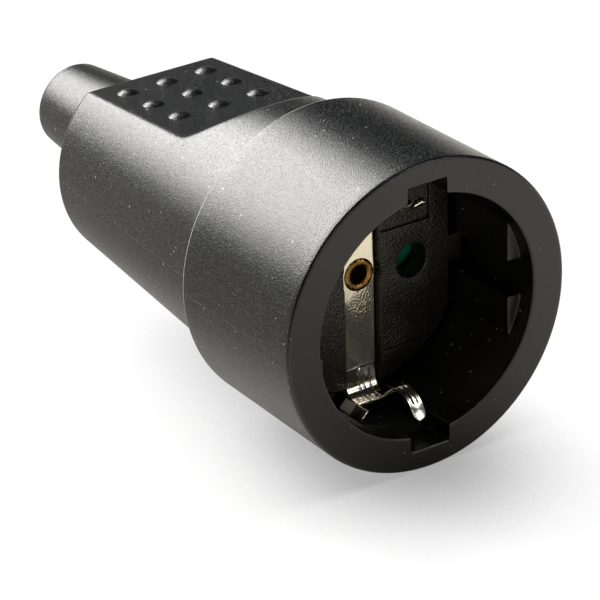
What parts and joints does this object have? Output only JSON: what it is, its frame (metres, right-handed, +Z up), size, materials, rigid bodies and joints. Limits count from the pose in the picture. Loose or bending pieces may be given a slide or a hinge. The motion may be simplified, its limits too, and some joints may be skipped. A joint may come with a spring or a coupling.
{
  "type": "portable rubber socket",
  "caption": "Portable in-line rubber mains socket for a round earthed plug, with shuttered pin holes, sprung side earth contacts and a cable sleeve.",
  "frame": {"origin": "centre of the bounding box in plan, at the lowest point of the barrel, where the socket lies on a table", "axes": "+Y along the socket's axis from the mouth to the cable end, +Z up across the two earth contacts, +X towards the pin hole on the right as seen from the mouth"},
  "size_m": [0.051, 0.1014, 0.051],
  "materials": {
    "rubber": "fine matt grain",
    "insert_plastic": "spark-eroded, matt",
    "shutter_plastic": "smooth",
    "nickel_sheet": "bright nickel plate",
    "spring_wire": "drawn wire",
    "rivet_brass": "dull brass",
    "contact_brass": "clean brass",
    "zinc_steel": "zinc plate"
  },
  "bodies": {
    "socket": {"housing": "rubber", "contact_face": "insert_plastic", "insert_base": "insert_plastic", "shutter_spring": "spring_wire", "earth_strip": "nickel_sheet", "centre_rivet": "rivet_brass", "line_contact": "contact_brass", "neutral_contact": "contact_brass", "line_contact_clip": "spring_wire", "neutral_contact_clip": "spring_wire", "line_terminal": "contact_brass", "neutral_terminal": "contact_brass", "earth_terminal": "contact_brass", "line_terminal_screw": "zinc_steel", "neutral_terminal_screw": "zinc_steel", "earth_terminal_screw": "zinc_steel", "insert_screws": "zinc_steel", "cord_clamp_base": "insert_plastic", "cord_clamp_saddle": "insert_plastic", "cord_clamp_screws": "zinc_steel"},
    "shutter": {"shutter": "shutter_plastic"},
    "top_tongue": {"earth_tongue_top": "nickel_sheet"},
    "bottom_tongue": {"earth_tongue_bottom": "nickel_sheet"}
  },
  "joints": [
    {"name": "shutter_turn", "type": "hinge", "parent": "socket", "child": "shutter", "pos_m": [0, -0.02835, 0.0255], "axis": [0, -1, 0], "range_deg": [0, 42], "stiffness_Nm_per_rad": 0.002, "springref_deg": -17.19},
    {"name": "top_tongue_flex", "type": "hinge", "parent": "socket", "child": "top_tongue", "pos_m": [0.00172, -0.03765, 0.0458], "axis": [-1, 0, 0], "range_deg": [0, 25], "stiffness_Nm_per_rad": 0.1},
    {"name": "bottom_tongue_flex", "type": "hinge", "parent": "socket", "child": "bottom_tongue", "pos_m": [0.00172, -0.03615, 0.0052], "axis": [1, 0, 0], "range_deg": [0, 8], "stiffness_Nm_per_rad": 0.1}
  ]
}
